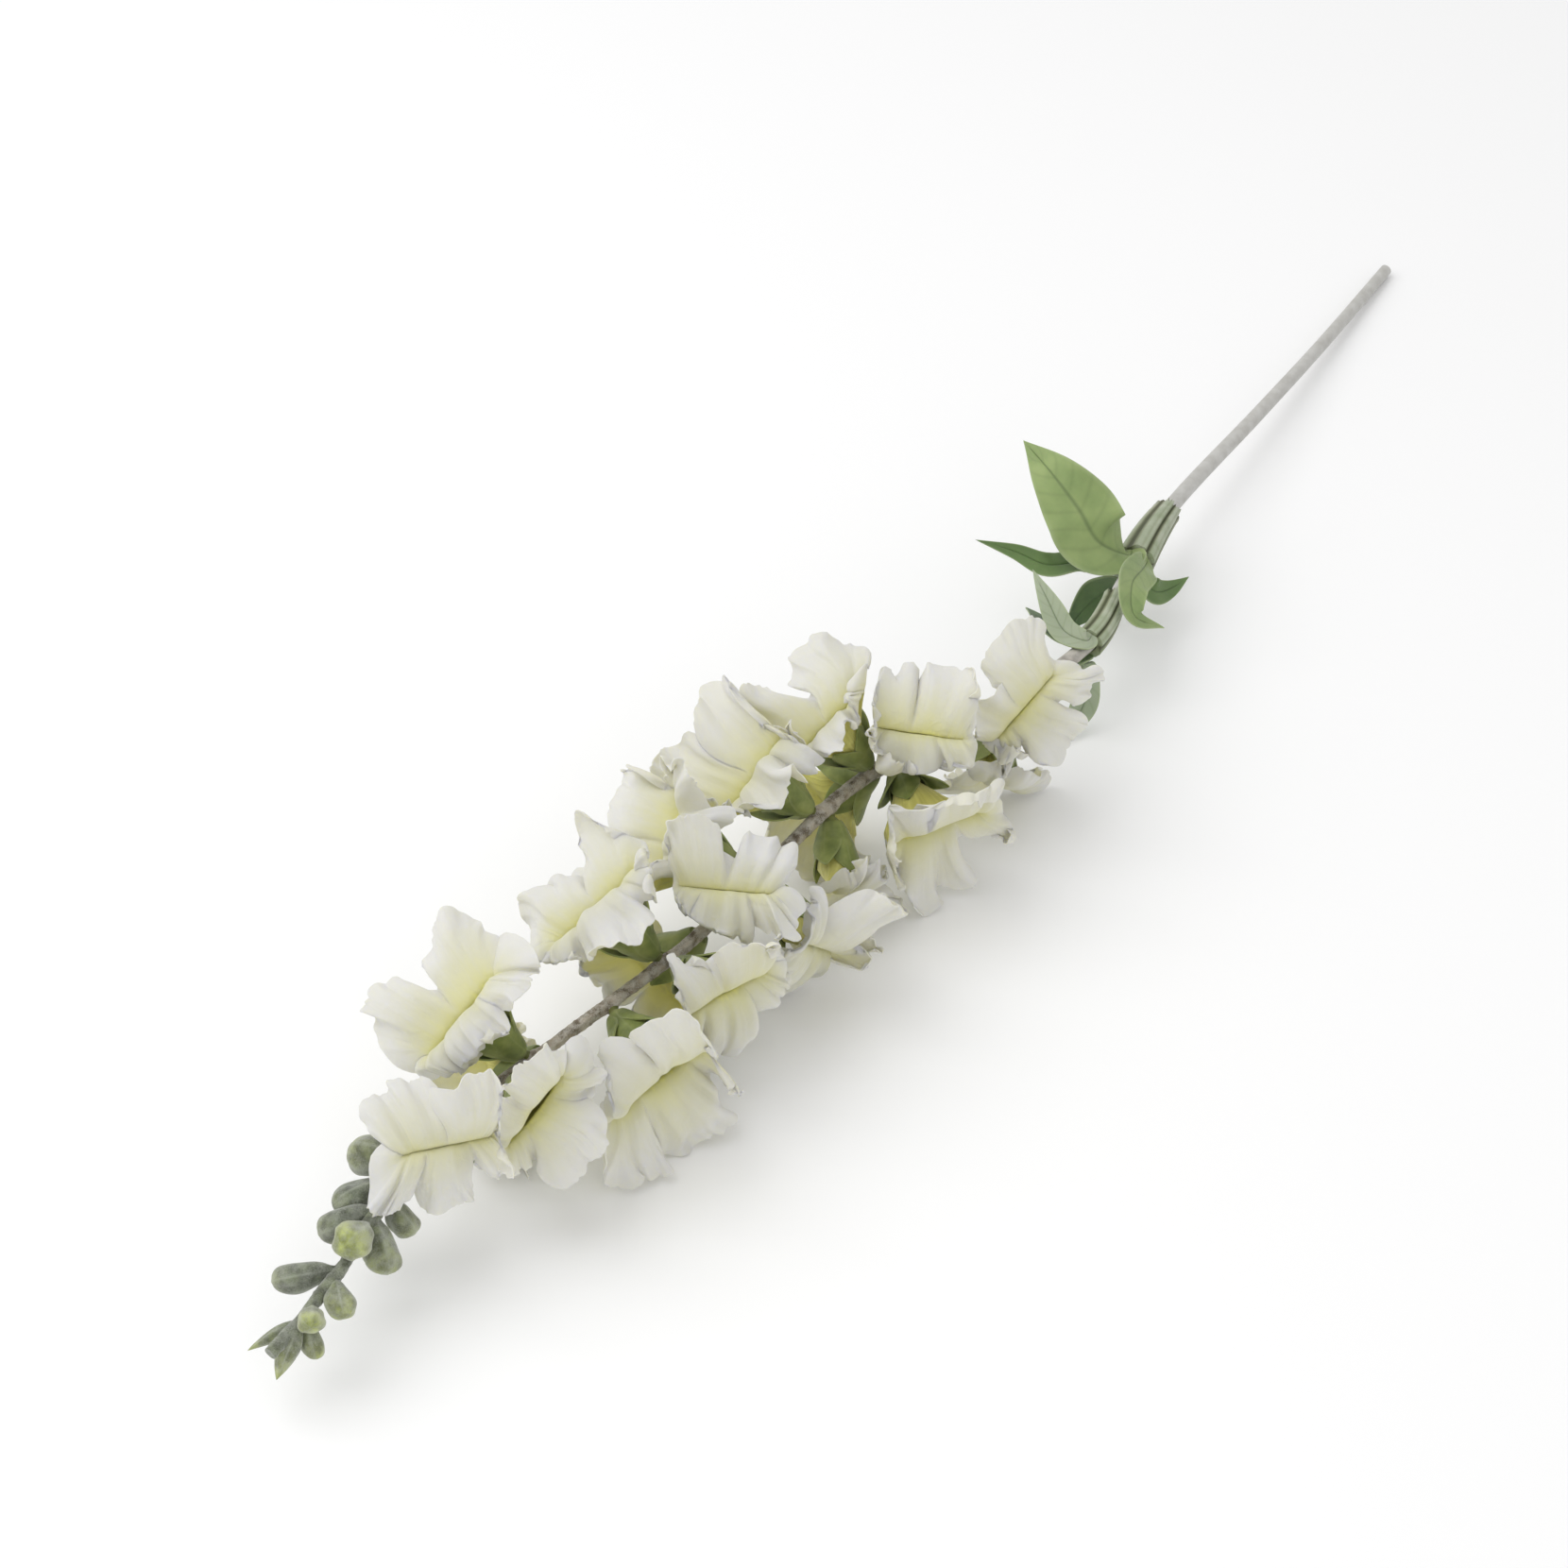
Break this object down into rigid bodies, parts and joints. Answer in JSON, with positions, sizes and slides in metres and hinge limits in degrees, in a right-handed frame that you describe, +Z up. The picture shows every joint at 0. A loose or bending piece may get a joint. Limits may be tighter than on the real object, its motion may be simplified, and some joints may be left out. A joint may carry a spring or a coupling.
{
  "type": "artificial snapdragon flower stem",
  "caption": "Cut stem of an artificial snapdragon lying on its side: ruffled cream blooms in green calyxes, tufts of leaves from pleated sheaths, and frosted green buds at the tip.",
  "frame": {"origin": "middle of the footprint, on the surface that the stem lies on", "axes": "+X along the stem from the buds to the cut end, +Y across it, +Z up"},
  "size_m": [0.6954, 0.1104, 0.0802],
  "materials": {
    "petal": "matt woven, cream white",
    "calyx": "soft moulded, olive green",
    "stem": "dull grey with a dusty coat",
    "leaf": "matt, green above and paler below",
    "sheath": "matt, pale grey green",
    "bud": "frosted, grey green"
  },
  "bodies": {
    "root": {"bud_tip": "bud", "calyx_01": "calyx", "calyx_02": "calyx", "calyx_03": "calyx", "calyx_04": "calyx", "calyx_05": "calyx", "calyx_06": "calyx", "calyx_07": "calyx", "calyx_08": "calyx", "calyx_09": "calyx", "calyx_10": "calyx", "calyx_11": "calyx", "calyx_12": "calyx", "calyx_13": "calyx", "calyx_14": "calyx", "calyx_15": "calyx", "calyx_16": "calyx", "calyx_17": "calyx", "calyx_18": "calyx", "calyx_19": "calyx", "leaf_01": "leaf", "leaf_02": "leaf", "leaf_03": "leaf", "leaf_04": "leaf", "leaf_05": "leaf", "leaf_06": "leaf", "leaf_07": "leaf", "leaf_08": "leaf", "leaf_sheath_01": "sheath", "leaf_sheath_02": "sheath", "petals_01": "petal", "petals_02": "petal", "petals_03": "petal", "petals_04": "petal", "petals_05": "petal", "petals_06": "petal", "petals_07": "petal", "petals_08": "petal", "petals_09": "petal", "petals_10": "petal", "petals_11": "petal", "petals_12": "petal", "petals_13": "petal", "petals_14": "petal", "petals_15": "petal", "petals_16": "petal", "petals_17": "petal", "petals_18": "petal", "petals_19": "petal", "stem": "stem"}
  },
  "joints": []
}
